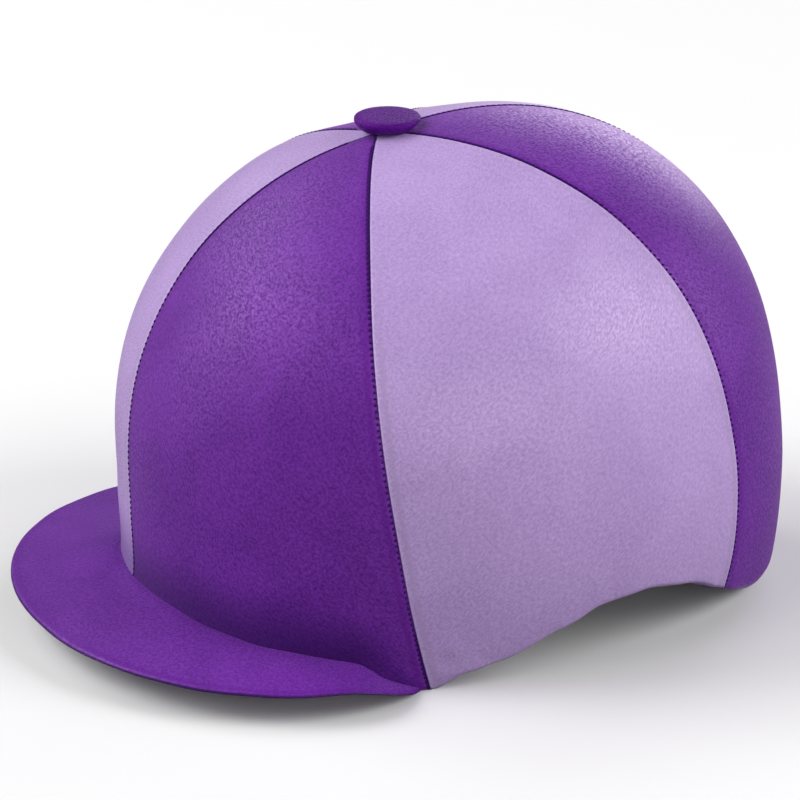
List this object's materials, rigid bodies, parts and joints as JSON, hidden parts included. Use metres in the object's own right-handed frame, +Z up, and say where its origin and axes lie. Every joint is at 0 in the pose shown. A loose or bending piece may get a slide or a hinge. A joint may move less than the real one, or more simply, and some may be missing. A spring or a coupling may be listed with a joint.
{
  "type": "jockey cap",
  "caption": "Stretch satin jockey cap: a domed crown of gores in two alternating colours, a soft crescent peak, a covered button on top and a gathered hem.",
  "frame": {"origin": "on the table, under the middle of the box round the whole cap", "axes": "+Z up from the table, -Y forwards to the peak, +X to the wearer's left"},
  "size_m": [0.22, 0.2886, 0.18],
  "materials": {
    "purple_satin": "stretch satin, fine knit, soft sheen",
    "lilac_satin": "stretch satin, fine knit, soft sheen",
    "hem_elastic": "gathered knit casing over elastic, matt"
  },
  "bodies": {
    "root": {"panel_left_front": "purple_satin", "panel_left_side": "lilac_satin", "panel_left_back": "purple_satin", "panel_right_back": "lilac_satin", "panel_right_side": "purple_satin", "panel_right_front": "lilac_satin", "top_button": "purple_satin", "peak": "purple_satin", "hem_band": "hem_elastic"}
  },
  "joints": []
}
